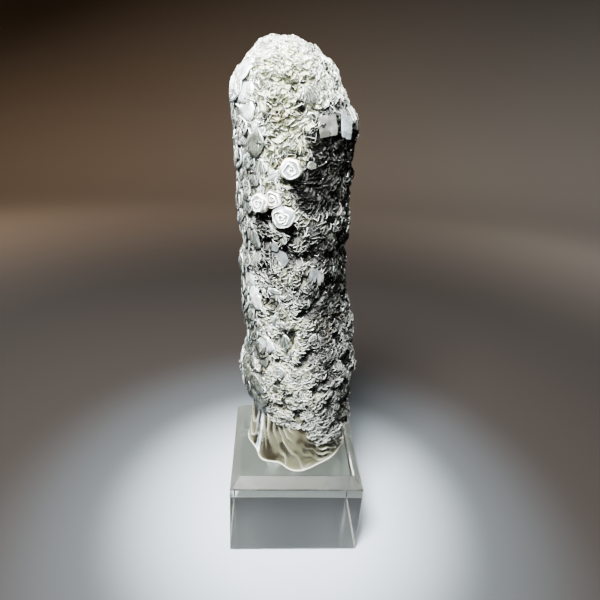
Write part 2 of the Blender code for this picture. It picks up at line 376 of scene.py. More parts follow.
def add(tree, kind, inputs=(), output=0, **settings):
    """Adds a node and returns one of its outputs. An input is a value, a hex colour or another
    node's output, and inputs and outputs go by name or number. Of MapRange, 0 is the value, 1 and
    2 what it runs from, and 3 and 4 what to. Of Mix, 0 is the share, and 6 and 7 the colours."""
    made = tree.nodes.new("ShaderNode" + kind)
    for name, value in settings.items():
        setattr(made, name, value)
    for name, value in dict(inputs).items():
        if isinstance(value, bpy.types.NodeSocket):
            tree.links.new(value, made.inputs[name])
        else:
            made.inputs[name].default_value = linear(value) if isinstance(value, str) else value
    return made.outputs[output]


SMOOTH = {"interpolation_type": "SMOOTHSTEP"}  # how MapRange runs in every material
COLOURS = {"data_type": "RGBA"}  # what Mix mixes
LUMP_SIZE = 3 * MM  # of the paler and darker lumps in the rock
GRAIN_SIZE, GRAIN_DEPTH = 0.4 * MM, 0.2 * MM  # the real grain is finer, and would not show


def make_matrix_material():
    """Silica and manganese rock, as it grew: dull, rough and fine-grained, with no gloss between
    the bright crystals. It is olive, and black where it holds much manganese, with painted shade
    that darkens it further on the side away from the light, in the pits and between the petals."""
    made, tree, shader = new_material("matrix_silica_rock")
    place = add(tree, "TexCoord", output="Object")
    lumps = add(tree, "TexNoise", {"Vector": place, "Scale": 1 / LUMP_SIZE, "Detail": 3.0})
    lumps = add(tree, "MapRange", {0: lumps, 1: 0.35, 2: 0.65}, **SMOOTH)
    pale = add(tree, "Mix", {0: lumps, 6: "#5d5f40", 7: "#8a8b74"}, 2, **COLOURS)
    black = add(tree, "Mix", {0: lumps, 6: "#050505", 7: "#141311"}, 2, **COLOURS)
    shade = add(tree, "Attribute", output="Fac", attribute_name="shade")
    share = add(tree, "MapRange", {0: shade, 1: 0.0, 2: 0.5}, **SMOOTH)
    body = add(tree, "Mix", {0: share, 6: pale, 7: black}, 2, **COLOURS)
    tree.links.new(body, shader.inputs["Base Color"])
    grain = add(tree, "TexNoise", {"Vector": place, "Scale": 1 / GRAIN_SIZE, "Detail": 3.0})
    grain = add(tree, "Bump", {"Height": grain, "Distance": GRAIN_DEPTH})
    tree.links.new(grain, shader.inputs["Normal"])
    shader.inputs["Roughness"].default_value = 0.8
    return made


def add_piece(name, mesh, material):
    """A finished piece of the column, at the origin, that stands for the CAD column."""
    piece = bpy.data.objects.new(name, mesh)
    bpy.context.scene.collection.objects.link(piece)
    mesh.materials.append(material)
    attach(piece, "root")
    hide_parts("quartz_column")
    return piece


def closed_mesh(bm, name):
    """A mesh of a bmesh, with its holes filled and its faces turned outwards. Frees the bmesh."""
    bmesh.ops.holes_fill(bm, edges=[edge for edge in bm.edges if edge.is_boundary])
    bmesh.ops.recalc_face_normals(bm, faces=bm.faces)
    mesh = bpy.data.meshes.new(name)
    bm.to_mesh(mesh)
    bm.free()
    return mesh


def set_values(mesh, name, values):
    """Stores one number for each point of a mesh, for its material to read."""
    stored = mesh.attributes.new(name, "FLOAT", "POINT")
    stored.data.foreach_set("value", np.asarray(values, np.float32))


MATRIX_SIDES, MATRIX_ROWS = 150, 190
MATRIX_DEPTH = 0.85  # how deep it lies under the crust's tips, as a share of a blade's reach
MATRIX_DARKNESS = 0.8  # as a share of the crust's

bm = bmesh.new()
bmesh.ops.create_grid(bm, x_segments=MATRIX_SIDES, y_segments=MATRIX_ROWS, size=0.5)
grid = np.array([vert.co for vert in bm.verts])
matrix_azimuth = grid[:, 0] * 360 + (SEAM + 180)
matrix_foot = np.interp(crust_end(matrix_azimuth), steps, climb)
matrix_height = np.interp(matrix_foot + (climb[-1] - matrix_foot) * (grid[:, 1] + 0.5), climb, steps)
matrix_points = outside(matrix_height, matrix_azimuth)
matrix_sunk = hump(nearest_floret(matrix_points)[1]) - BLADE_REACH * MATRIX_DEPTH
matrix_sunk = (matrix_sunk - PIT_DEPTH * pits(matrix_points))[:, None]
matrix_points = matrix_points + outward(matrix_height, matrix_azimuth) * matrix_sunk
for vert, point in zip(bm.verts, matrix_points):
    vert.co = point
bmesh.ops.remove_doubles(bm, verts=bm.verts, dist=0.02 * MM)
matrix_mesh = closed_mesh(bm, "matrix")
matrix_mesh.shade_smooth()
matrix_points = np.array([vert.co for vert in matrix_mesh.vertices])
set_values(matrix_mesh, "shade", MATRIX_DARKNESS * crust_darkness(matrix_points))
add_piece("matrix", matrix_mesh, make_matrix_material())

# ---------------------------------------------------------------------------------------------
# Rosettes and slabs: the crust's largest crystals. A rosette is a ball of curved quartz plates
# that wrap round each other like a rosebud. A slab is one flat plate that shows its broad face.

# Height above the block in millimetres, azimuth, diameter in millimetres, greyness
ROSETTES = (
    (112.0, -96, 6.8, 0.00),
    (101.1, -126, 6.4, 0.00),
    (102.8, -113, 6.2, 0.30),
    (97.8, -103, 7.6, 0.12),
    (99.6, -41, 5.4, 0.62),
)
# Height, azimuth, width, length, tilt in degrees, plates side by side, greyness, tint
SLABS = (
    (125.0, -65, 5.2, 4.4, 6, 2, 0.36, 0.84),
    (124.8, -44, 3.8, 4.9, -7, 2, 0.26, 0.10),
    (127.8, -22, 3.0, 4.4, 8, 2, 0.30, 0.30),
    (80.6, -72, 2.6, 3.2, -16, 2, 0.10, 0.30),
    (79.6, -64, 2.4, 3.6, 6, 2, 0.10, 0.86),
    (84.9, -108, 5.4, 4.8, 14, 1, 0.16, 0.30),
    (88.0, -113, 3.4, 2.8, 30, 1, 0.20, 0.30),
)
SLAB_THICKNESS = 0.9 * MM  # of a slab that stands alone
STRIP_THICKNESS = 1.9 * MM  # of one that stands beside others
STRIP_STAGGER = 0.3 * MM
SLAB_DEPTH = 0.75 * MM  # of its face under the crust's outside
SLAB_EDGE = 0.32 * MM  # how far its edges are rounded
SLAB_LEAN, SLAB_TURN = 15, 4  # degrees at most by which a plate leans and turns
SLAB_SHIFT = 0.1  # of its length at most, along it
SLAB_CORNERS = (0.85, 1.15)  # how far out the corners of one that stands alone are
STRIP_OVERLAP = 1.25  # width of a plate over the step to the next
TO_SQUARE = 1.414  # brings a square's corners out from the circle that it is made of


def stands(points, normals, spin, lean, length, height):
    """Places on the crust as 3x4 matrices, one per row. X is level before the spin, Z is outward
    before the lean, which tips Z over towards Y. Angles in degrees; X and Y take the length."""
    spin, lean, length, height = (np.broadcast_to(v, len(points)) for v in (spin, lean, length, height))
    level = unit(np.cross([0.0, 0.0, 1.0], normals))
    rise = np.cross(normals, level)
    turn, tip = np.radians(spin)[:, None], np.radians(lean)[:, None]
    x = np.cos(turn) * level + np.sin(turn) * rise
    y = np.cross(normals, x)
    z = np.cos(tip) * normals + np.sin(tip) * y
    y = np.cross(z, x)
    scales = np.stack([length, length, height], -1)[:, None, :]
    return np.concatenate([np.stack([x, y, z], -1) * scales, points[:, :, None]], 2)


def shape_of(bm):
    """A closed template's points, faces, and named values for each point. Frees its bmesh."""
    bmesh.ops.recalc_face_normals(bm, faces=bm.faces)
    points = np.array([vert.co for vert in bm.verts])
    faces = [[vert.index for vert in face.verts] for face in bm.faces]
    layers = bm.verts.layers.float
    values = {name: np.array([vert[layers[name]] for vert in bm.verts]) for name in layers.keys()}
    bm.free()
    return points, faces, values


def joined(name, batches):
    """One mesh of many copies. A batch is a template, its places, and the values of each copy."""
    points, starts, corners, values = [], [], [], {}
    for (shape_points, shape_faces, own_values), places, copy_values in batches:
        offset = sum(len(p) for p in points)
        moved = np.einsum("nij,kj->nki", places[:, :, :3], shape_points) + places[:, None, :, 3]
        points.append(moved.reshape(-1, 3))
        flat = np.concatenate([np.asarray(face) for face in shape_faces])
        shifts = offset + np.arange(len(places)) * len(shape_points)
        corners.append((flat[None, :] + shifts[:, None]).reshape(-1))
        starts += [len(face) for face in shape_faces] * len(places)
        for key, each in own_values.items():
            values.setdefault(key, []).append(np.tile(each, len(places)))
        for key, each in copy_values.items():
            values.setdefault(key, []).append(np.repeat(each, len(shape_points)))
    mesh = bpy.data.meshes.new(name)
    points, corners = np.concatenate(points), np.concatenate(corners)
    mesh.vertices.add(len(points))
    mesh.vertices.foreach_set("co", points.reshape(-1).astype(np.float32))
    mesh.loops.add(len(corners))
    mesh.loops.foreach_set("vertex_index", corners.astype(np.int32))
    mesh.polygons.add(len(starts))
    firsts = np.concatenate([[0], np.cumsum(starts)[:-1]])
    mesh.polygons.foreach_set("loop_start", firsts.astype(np.int32))
    mesh.update(calc_edges=True)
    for key, parts in values.items():
        set_values(mesh, key, np.concatenate(parts))
    return mesh


def keep(bm, name, of_place):
    """Stores a named value for each vertex of a template, worked out from its place."""
    layer = bm.verts.layers.float.new(name)
    for vert in bm.verts:
        vert[layer] = of_place(vert.co)


CLOUD_SIZE = 2.5 * MM  # of the milky clouds in the quartz
GROWTH_STEP = 0.5 * MM  # the real steps are finer, and would not show
GROWTH_STEP_HEIGHT = 0.1 * MM
FAN_LINES = 11  # milky streaks in a petal, over a radian of the fan they make
FAN_SHIFT = 97.0  # along the noise from one tint to the next, so that no two petals are alike
FAN_STRENGTH = 0.45  # how much of the rim's colour they take
QUARTZ_IOR = 1.54


def fan_streaks(tree, tint):
    """Milky streaks that fan out from the fixed edge of a petal. Its tint makes them its own."""
    fan = add(tree, "Attribute", output="Fac", attribute_name="fan")
    across = add(tree, "Math", {0: fan, 1: FAN_LINES}, operation="MULTIPLY")
    place = add(tree, "Math", {0: tint, 1: FAN_SHIFT, 2: across}, operation="MULTIPLY_ADD")
    inputs = {"W": place, "Scale": 1.0, "Detail": 1.0}
    lines = add(tree, "TexNoise", inputs, noise_dimensions="1D")
    inputs = {0: lines, 1: 0.5, 2: 0.72, 4: FAN_STRENGTH}
    return add(tree, "MapRange", inputs, **SMOOTH)


def make_quartz_material(name, pale, dark, roughness, steps_seen, streaked=False):
    """Quartz in thin crystals, glossy as it grew. pale and dark each give the colours of a crystal's
    rim and of its root. On blades and rosettes the bright rim is a painted highlight, and the
    darker root painted shade, deeper down between them. A crystal is between the two by its
    shade, and warmer or cooler by its tint."""
    made, tree, shader = new_material(name)
    shade = add(tree, "Attribute", output="Fac", attribute_name="shade")
    tint = add(tree, "Attribute", output="Fac", attribute_name="tint")
    up = add(tree, "Attribute", output="Fac", attribute_name="rim")
    rim = add(tree, "MapRange", {0: shade, 1: 0.3, 2: 1.0}, **SMOOTH)
    rim = add(tree, "Mix", {0: rim, 6: pale[0], 7: dark[0]}, 2, **COLOURS)
    root = add(tree, "MapRange", {0: shade, 1: 0.0, 2: 0.5}, **SMOOTH)
    root = add(tree, "Mix", {0: root, 6: pale[1], 7: dark[1]}, 2, **COLOURS)
    # How far up a crystal its rim starts, and where it is full. The darker, the finer it is.
    rim_start = add(tree, "MapRange", {0: shade, 1: 0, 2: 0.35, 3: 0.45, 4: 0.5}, **SMOOTH)
    rim_full = add(tree, "MapRange", {0: shade, 1: 0, 2: 0.35, 3: 0.95, 4: 1.0}, **SMOOTH)
    # How far up a crystal a point is turns painted shade at the root into painted highlight at the rim
    share = add(tree, "MapRange", {0: up, 1: rim_start, 2: rim_full}, **SMOOTH)
    if streaked:
        share = add(tree, "Math", {0: share, 1: fan_streaks(tree, tint)}, operation="MAXIMUM")
    body = add(tree, "Mix", {0: share, 6: root, 7: rim}, 2, **COLOURS)
    warm = add(tree, "MapRange", {0: tint, 1: 0.78, 2: 0.95}, **SMOOTH)
    warm = add(tree, "Mix", {0: warm, 6: "#ffffff", 7: "#f7e6d3"}, 2, **COLOURS)
    cool = add(tree, "MapRange", {0: tint, 1: 0.0, 2: 0.35}, **SMOOTH)
    cool = add(tree, "Mix", {0: cool, 6: "#e3ecf2", 7: "#ffffff"}, 2, **COLOURS)
    place = add(tree, "TexCoord", output="Object")
    milk = add(tree, "TexNoise", {"Vector": place, "Scale": 1 / CLOUD_SIZE, "Detail": 3.0})
    milk = add(tree, "MapRange", {0: milk, 1: 0.4, 2: 0.62}, **SMOOTH)
    milk = add(tree, "Mix", {0: milk, 6: "#ffffff", 7: "#c6c8c0"}, 2, **COLOURS)
    for wash in (warm, cool, milk):
        inputs = {0: 1.0, 6: body, 7: wash}
        body = add(tree, "Mix", inputs, 2, blend_type="MULTIPLY", **COLOURS)
    tree.links.new(body, shader.inputs["Base Color"])
    growth = add(tree, "TexNoise", {"Vector": place, "Scale": 1 / GROWTH_STEP, "Detail": 3.0})
    inputs = {"Height": growth, "Distance": GROWTH_STEP_HEIGHT, "Strength": steps_seen}
    tree.links.new(add(tree, "Bump", inputs), shader.inputs["Normal"])
    shader.inputs["Roughness"].default_value = roughness
    shader.inputs["IOR"].default_value = QUARTZ_IOR
    return made


def let_light_in(made, weight, depth):
    """Lets light into milky quartz, as deep as the plates are thick."""
    shader = made.node_tree.nodes["Principled BSDF"]
    shader.inputs["Subsurface Weight"].default_value = weight
    shader.inputs["Subsurface Radius"].default_value = (1, 1, 1)
    shader.inputs["Subsurface Scale"].default_value = depth


# Of each petal of a rosette, from the heart out: the radius of its rim, how far the rim stands
# up and how wide it is, in rosette radii, and its share of the way round
ROSETTE_RIMS = (
    (0.10, 0.10, 0.06, 0.80),
    (0.25, 0.11, 0.06, 0.70),
    (0.40, 0.12, 0.06, 0.60),
    (0.54, 0.12, 0.06, 0.62),
    (0.68, 0.12, 0.06, 0.58),
    (0.82, 0.12, 0.07, 0.60),
    (0.95, 0.10, 0.07, 0.50),
)
ROSETTE_TURN = 2.4  # radians from the start of one petal to the next
ROSETTE_LOOSENESS = 0.09  # how far its petals lie off its middle, in rosette radii
ROSETTE_SHAPE = (0.95, 0.62, 0.06)  # height of its dome, where that is cut, and how hollow it is
ROSETTE_CROWN = 1.4  # all rows of its grid over those on the dome. The rest close its underside.
ROSETTE_UNDERSIDE = 1.8  # how steep that is
ROSETTE_BUD = 0.48  # its radius as a share of its diameter, as the rims stand out further
ROSETTE_DEPTH = 0.45  # of its middle, in rosette radii. A grey one sits deeper by its greyness.


def add_rosette(bm, place, radius, grey):
    """Adds one rosette: a round bud whose curved petals wrap round its heart. Each petal's rim
    is a ridge, steep on the inside and rounded on the outside."""
    rim, tint, shade = (bm.verts.layers.float[name] for name in ("rim", "tint", "shade"))
    before = set(bm.verts)
    bmesh.ops.create_grid(bm, x_segments=64, y_segments=48, size=0.5)
    verts = [vert for vert in bm.verts if vert not in before]
    first, hand = rng.uniform(0, 2 * math.pi), rng.choice([-1, 1])
    shifts = rng.uniform(-ROSETTE_LOOSENESS, ROSETTE_LOOSENESS, (len(ROSETTE_RIMS), 2))
    dome, cut, hollow = ROSETTE_SHAPE
    for vert in verts:
        around, out = 2 * math.pi * vert.co.x, min(1, ROSETTE_CROWN * (vert.co.y + 0.5))
        x, y = out * math.cos(around), out * math.sin(around)
        wobble = 1 + 0.05 * math.sin(3 * around + first) + 0.04 * math.sin(5 * around - first)
        height = min(dome * math.sqrt(max(0, 1 - out * out)), cut + hollow * out**2)
        ridge = 0
        for number, (middle, lift, width, share) in enumerate(ROSETTE_RIMS):
            dx, dy = shifts[number] * min(1, middle / 0.4)
            turn = (hand * math.atan2(y - dy, x - dx) - first - ROSETTE_TURN * number) / (2 * math.pi) % 1
            there = eased(turn, 0, 0.1) * (1 - eased(turn, share - 0.1, share))
            away = (math.hypot(x - dx, y - dy) * wobble - middle - 0.1 * (turn - 0.3)) / width
            flank = 1.6 if away > 0 else 0.7  # its width outside and inside
            ridge = max(ridge, there * math.exp(-((away / flank) ** 2)) * lift)
        below = ROSETTE_CROWN * (vert.co.y + 0.5) - 1
        if below > 0:
            x, y, height = x * (1 - below), y * (1 - below), -below * ROSETTE_UNDERSIDE
        vert[rim] = min(1.0, ridge / 0.11 + 0.4 * eased(out, 0.7, 0.9))
        vert[shade] = grey
        vert[tint] = 0.5 + 0.5 * eased(out + 0.1 * math.sin(around + first), 0.82, 0.95)
        grow = wobble**-0.6
        vert.co = place @ (Vector((x * grow, y * grow, height + ridge)) * radius)
    bmesh.ops.remove_doubles(bm, verts=verts, dist=0.005 * MM)


def frame_at(height, azimuth, sunk):
    """A matrix on the outside: X level, Y up the column, Z outward, sunk by a depth."""
    point, normal = outside(height, azimuth), outward(height, azimuth)
    place = stands((point - normal * sunk)[None], normal[None], 0, 0, 1, 1)[0]
    return Matrix([*place.tolist(), [0, 0, 0, 1]])


bm = bmesh.new()
for name in ("rim", "tint", "shade"):
    bm.verts.layers.float.new(name)
for height, azimuth, diameter, grey in ROSETTES:
    radius = ROSETTE_BUD * diameter * MM
    add_rosette(bm, frame_at(height * MM, azimuth, (ROSETTE_DEPTH + grey) * radius), radius, grey)
rosette_mesh = closed_mesh(bm, "rosettes")
rosette_mesh.shade_smooth()
# White quartz: milky with tiny bubbles. Its smooth curved faces give it a satin look. Its edges
# carry painted highlight, and its blue-grey folds painted shade.
rosette_quartz = make_quartz_material(
    "white_rosette_quartz", ("#dcdad4", "#5f676d"), ("#85837e", "#4c4b46"), 0.3, 0.3
)
let_light_in(rosette_quartz, 0.2, 0.4 * MM)
add_piece("rosettes", rosette_mesh, rosette_quartz)

bm = bmesh.new()
rim_layer, tint_layer, shade_layer = (bm.verts.layers.float.new(n) for n in ("rim", "tint", "shade"))
for height, azimuth, width, length, tilt, plates, grey, tint in SLABS:
    spin = Matrix.Rotation(math.radians(tilt), 4, "Z")
    sides, thickness = (7, SLAB_THICKNESS) if plates == 1 else (4, STRIP_THICKNESS)
    slab_place = frame_at(height * MM, azimuth, SLAB_DEPTH) @ spin
    for number in range(plates):
        made = bmesh.ops.create_circle(bm, cap_ends=True, segments=sides, radius=0.5)
        across = width * MM * (number - (plates - 1) / 2) / plates
        along = rng.uniform(-SLAB_SHIFT, SLAB_SHIFT) * length * MM
        shift = (across, along, rng.uniform(-1, 1) * STRIP_STAGGER)
        lean = Matrix.Rotation(math.radians(rng.uniform(-SLAB_LEAN, SLAB_LEAN)), 4, "Y")
        turn = Matrix.Rotation(math.radians(rng.uniform(-SLAB_TURN, SLAB_TURN)), 4, "Z")
        plate_place = slab_place @ Matrix.Translation(shift) @ lean @ turn
        square = Matrix.Rotation(math.pi / 4, 4, "Z") if sides == 4 else Matrix()
        size = (STRIP_OVERLAP if sides == 4 else 1.0) * width * MM / plates
        for vert in made["verts"]:
            corner = square @ vert.co * (TO_SQUARE if sides == 4 else rng.uniform(*SLAB_CORNERS))
            vert.co = plate_place @ Vector((corner.x * size, corner.y * length * MM, 0))
            vert[rim_layer], vert[tint_layer], vert[shade_layer] = rng.uniform(0.2, 1), tint, grey
        face = made["verts"][0].link_faces[0]
        bmesh.ops.solidify(bm, geom=[face], thickness=thickness)
edges = [edge for edge in bm.edges if edge.calc_face_angle(0) > 1.0]  # radians
bmesh.ops.bevel(bm, geom=edges, offset=SLAB_EDGE, segments=3, profile=0.5, affect="EDGES", material=-1)
slab_mesh = closed_mesh(bm, "slabs")
# Clearer quartz: flat growth faces with a sharp gloss, grey where the dark shows through them
slab_quartz = make_quartz_material(
    "clear_quartz_slabs", ("#6c7173", "#4b5052"), ("#5f605e", "#3a3a38"), 0.2, 1.0
)
add_piece("slabs", slab_mesh, slab_quartz)

# ---------------------------------------------------------------------------------------------
# The blades: the crust itself. They are thin plates of quartz on edge, packed side by side in
# florets, so that their rims draw short curved lines. Each floret's blades grew its own way.

BLADE_SPACING = 0.84 * MM
BLADE_JITTER = 0.45  # how far one is moved, as a share of the spacing
BLADES_START = 6 * MM
CRUST_FRAY = (-0.5, 1.0)  # millimetres by which the crust's lower end is uneven
HIGH_UP = (45 * MM, 85 * MM)  # the heights between which low turns to high
BLADE_LENGTH = (1.2 * MM, 2.4 * MM)  # low on the column
BLADE_GROWTH = 0.4  # how much longer they are high on the column
BLADE_THICKNESS = 0.17  # of its length, low on the column
HIGH_BLADE_THICKNESS = 0.10
HIGH_BLADE_GAPS = 0.2  # share of them missing
STRIP_GAPS = 0.62  # share of them missing between the petals
BLADE_BENDS = ((0.05, 0.0), (0.18, 0.0), (0.34, 0.0), (0.0, 0.1), (0.12, 0.08))
BLADE_ROUNDING = 0.3  # how much lower its ends are than its middle, as a share of its height
BLADE_ROOT = 0.3 * MM  # how much of it is sunk in the matrix
BLADE_HEIGHTS = (0.85, 1.15)  # shares of the usual reach
BLADE_SINKING = (-0.5, 0.0)  # millimetres by which the tips lie under the outside
BLADE_LEAN = 18  # degrees at most
BLADE_TURNS = 48  # degrees, the spread of their turns about a floret's own way
FLORET_KINDS = (0.5, 0.3, 0.2)  # shares whose blades run one way, round the middle, out from it
FLORET_FLARE = 0.25  # how far the blades lean away from their floret's middle at its edge


def blade(bend, wave):
    """A blade 1 long and 1 high, bent to a bow or a wave, with a rounded top."""
    bm = bmesh.new()
    bmesh.ops.create_grid(bm, x_segments=3, y_segments=1, size=0.5)
    for vert in bm.verts:
        along, up = vert.co.x, vert.co.y + 0.5
        across = bend * (0.25 - along**2) + wave * math.sin(2 * math.pi * along)
        vert.co = (along, across, up * (1 - BLADE_ROUNDING * (2 * along) ** 2))
    bmesh.ops.solidify(bm, geom=bm.faces[:], thickness=BLADE_THICKNESS)
    keep(bm, "rim", lambda at: min(1.0, at.z / (1 - BLADE_ROUNDING * (2 * at.x) ** 2)))
    return shape_of(bm)


# The largest petals, which the next section makes. Height above the block and azimuth of the
# middle, length in millimetres, width as a share of it, the way the tip points in degrees from
# straight down, and greyness
LARGE_PETALS = (
    (138.2, -146, 7.5, 0.90, 10, 0.12),
    (132.4, -141, 7.5, 1.05, -8, 0.06),
    (127.0, -138, 6.0, 1.05, 12, 0.02),
    (122.2, -127, 4.6, 1.00, 20, 0.30),
    (132.7, -71, 5.6, 1.10, -10, 0.56),
    (117.8, -139, 5.0, 1.00, -15, 0.30),
    (112.0, -128, 5.8, 1.15, 15, 0.42),
    (108.4, -137, 5.6, 1.00, -20, 0.58),
    (110.0, -111, 5.2, 0.65, 55, 0.30),
    (100.8, -149, 7.5, 0.80, 4, 0.54),
    (94.3, -163, 7.0, 0.80, -6, 0.66),
    (90.6, -147, 7.0, 0.80, 22, 0.58),
    (89.0, -139, 7.0, 0.70, -18, 0.64),
    (92.0, -53, 4.8, 1.00, 0, 0.76),
    (81.7, -160, 6.4, 0.80, 5, 0.64),
    (82.5, -140, 7.5, 0.60, 25, 0.56),
    (75.5, -150, 7.5, 0.90, 5, 0.00),
    (71.0, -145, 8.0, 0.85, -10, 0.00),
    (67.5, -137, 6.0, 0.90, -20, 0.14),
    (72.4, -116, 5.0, 0.45, -88, 0.56),
    (70.6, -112, 5.0, 0.45, -96, 0.60),
    (62.5, -113, 6.0, 0.45, 25, 0.44),
    (52.0, -130, 6.6, 1.10, 8, 0.12),
    (54.6, -109, 5.6, 0.75, -5, 0.50),
    (42.5, -114, 4.4, 1.05, 15, 0.36),
    (44.0, -49, 4.6, 0.90, 0, 0.66),
    (40.5, -165, 6.5, 0.80, -30, 0.92),
    (37.5, -152, 6.5, 0.80, -35, 0.88),
    (33.0, -140, 6.0, 0.80, -40, 0.92),
    (29.5, -131, 5.5, 0.80, -45, 0.88),
)
CLEARED = -124  # petals in front of this azimuth have blades grown through them
BLADE_CLEARANCE = 0.55  # of the radius of the rosettes, slabs and large petals, which is kept free


features = [(*row[:2], row[2] / 2) for row in ROSETTES] + [
    (*row[:2], (row[2] + row[3]) / 4) for row in SLABS
] + [(row[0], row[1], row[2] * (1 + row[3]) / 5) for row in LARGE_PETALS if row[1] < CLEARED]
feature_middle = np.array([outside(height * MM, azimuth) for height, azimuth, _ in features])
feature_radius = np.array([radius * MM for *_, radius in features])


def clear_of_features(points, share):
    """Whether each point is off the largest crystals, whose radius counts by a share."""
    distance = np.linalg.norm(points[:, None, :] - feature_middle[None], axis=2)
    return (distance > feature_radius * share).all(1)


height, azimuth = spread(BLADE_SPACING, BLADE_JITTER, BLADES_START)
kept = height > crust_end(azimuth) + rng.uniform(*CRUST_FRAY, len(height)) * MM
height, azimuth = height[kept], azimuth[kept]
points, normals = outside(height, azimuth), outward(height, azimuth)
high_up = eased(height, *HIGH_UP)
gaps = np.maximum(STRIP_GAPS * petal_share(points), HIGH_BLADE_GAPS * high_up)
kept = clear_of_features(points, BLADE_CLEARANCE) & (rng.uniform(0, 1, len(points)) > gaps)
points, normals, high_up = points[kept], normals[kept], high_up[kept]

number, distance = nearest_floret(points)
away = points - floret_middle[number]
flare = FLORET_FLARE * distance / FLORET_SPACING * 2
standing = unit(normals + unit(away) * flare[:, None])
level = unit(np.cross([0.0, 0.0, 1.0], standing))
rise = np.cross(standing, level)
around = np.degrees(np.arctan2((away * rise).sum(1), (away * level).sum(1)))

floret_kind = rng.choice(3, len(floret_middle), p=FLORET_KINDS)[number]
floret_turn = rng.uniform(0, 180, len(floret_middle))[number]
spin = np.choose(floret_kind, (floret_turn, around + 90, around))
spin = spin + rng.normal(0, BLADE_TURNS, len(spin))
lean = rng.uniform(-BLADE_LEAN, BLADE_LEAN, len(spin))
length = rng.uniform(*BLADE_LENGTH, len(spin)) * (1 + BLADE_GROWTH * high_up)
blade_shade = crust_darkness(points)
tall = BLADE_REACH * rng.uniform(*BLADE_HEIGHTS, len(spin)) + BLADE_ROOT
tips = hump(distance) + rng.uniform(*BLADE_SINKING, len(spin)) * MM - PIT_DEPTH * pits(points)
tips = points + normals * tips[:, None]
roots = tips - standing * tall[:, None]
places = stands(roots, standing, spin, lean, length, tall)
places[:, :, 1] *= (1 - high_up * (1 - HIGH_BLADE_THICKNESS / BLADE_THICKNESS))[:, None]
tint = 0.5 + 0.3 * ruffle(points, 6 * MM, 3) + rng.normal(0, 0.12, len(spin))
tint = np.clip(tint, 0, 1)  # it changes from clump to clump, and a little from blade to blade
bent = rng.integers(0, len(BLADE_BENDS), len(spin))
templates = [blade(*bend) for bend in BLADE_BENDS]

# Drusy quartz: fine glassy plates. Their rims are a painted highlight, and their roots painted
# shade that darkens the gaps between them: olive on the pale side, black on the dark side.
blade_quartz = make_quartz_material(
    "drusy_quartz_blades", ("#f8fdf8", "#7b836e"), ("#3a3c38", "#050505"), 0.22, 0.2
)
# The crust is made in three pieces, split at heights above the block in millimetres
for name, low, high in (("low_crust", 0, 50), ("middle_crust", 50, 97), ("top_crust", 97, 150)):
    band = (points[:, 2] - SEAT >= low * MM) & (points[:, 2] - SEAT < high * MM)
    batches = []
    for which, template in enumerate(templates):
        mine = band & (bent == which)
        batches.append((template, places[mine], {"shade": blade_shade[mine], "tint": tint[mine]}))
    add_piece(name, joined(name, batches), blade_quartz)

# ---------------------------------------------------------------------------------------------
# The petals: broad rounded plates of milky quartz down the left side. They lie over each other
# like scales, each fixed by one edge, and are thin enough for light to pass through.

PETAL_SPACING = 2.5 * MM
PETAL_JITTER = 0.45  # how far one is moved, as a share of the spacing
PETALS_LOW, PETALS_HIGH = 14 * MM, 143 * MM  # the heights between which they are fixed
PETALS_OVER_END = 3 * MM  # how far over the crust's end the lowest are fixed
PETAL_LENGTH = (4.2 * MM, 8.8 * MM)
PETAL_SLIMNESS = (0.45, 1.0)  # width as a share of length
PETAL_THICKNESS = 0.045  # of its length
# Lobes of its outline, where they start, and how far its edge is bent up, as a share of length
PETAL_SHAPES = ((2, 0.3, 0.08), (3, 1.1, -0.07), (3, 2.6, 0.04), (4, 0.7, -0.1), (2, 2.0, 0.1))
PETAL_TILT = (3, 15)  # degrees from lying flat
LARGE_PETAL_TILT = (4, 10)
PETAL_TURNS = 48  # degrees, the spread of their turns from hanging straight down
PETAL_CLEARANCE = 0.9  # of the radius of the rosettes, slabs and large petals, which is kept free
PETAL_DEPTH = (0.3, 1.0)  # millimetres by which its fixed edge is sunk in the crust
LARGE_PETAL_DEPTHS = (0.2, 0.85)  # on clear ground, and where blades have grown through
PETAL_OVERHANG = 0.45  # how far it starts up the column from its place, as a share of its length
STRAY_PETALS = 0.022  # share of the other places that have a small one
STRAY_SIZE = 0.5  # of the others' length
PETAL_GREY = (0.42, 0.84)  # how dark a small one is, from 0 to 1, partly painted shade that keeps the left side dim
PETAL_GREY_THERE = 0.85  # its darkness at least, as a share of the crust's there
PETAL_GREY_LOWER = 0.08  # more for the large ones, and for the small ones lower on the column
PETAL_GREY_FROM = (112 * MM, 124 * MM)  # the heights between which the small ones' extra fades
PETAL_TINT = (0, 0.75)  # from cool to neutral
PETAL_MARGIN = 1.0 * MM  # from the solid's left side, where petals are pressed in
PETAL_PRESS = 0.8 * MM  # how far out from there they can reach


def petal(lobes, start, bend):
    """A petal 1 long and 1 wide: a thin plate with a wavy outline, fixed at its -Y edge."""
    bm = bmesh.new()
    bmesh.ops.create_uvsphere(bm, u_segments=12, v_segments=5, radius=0.5)
    for vert in bm.verts:
        out = math.hypot(vert.co.x, vert.co.y) * 2
        turn = math.atan2(vert.co.y, vert.co.x)
        wave = 1 + 0.10 * math.sin(lobes * turn + start) + 0.04 * math.sin(7 * turn + start)
        up = math.copysign(0.5, vert.co.z) * PETAL_THICKNESS
        crease = 0.03 * out * math.cos((lobes + 1) * turn + start)
        vert.co = (vert.co.x * wave, vert.co.y * wave + 0.5, up + bend * out**2 + crease)
    keep(bm, "rim", lambda at: min(1.0, 2 * math.hypot(at.x, at.y - 0.5)) ** 3)
    keep(bm, "fan", lambda at: math.atan2(at.x, at.y + 0.2))
    return shape_of(bm)


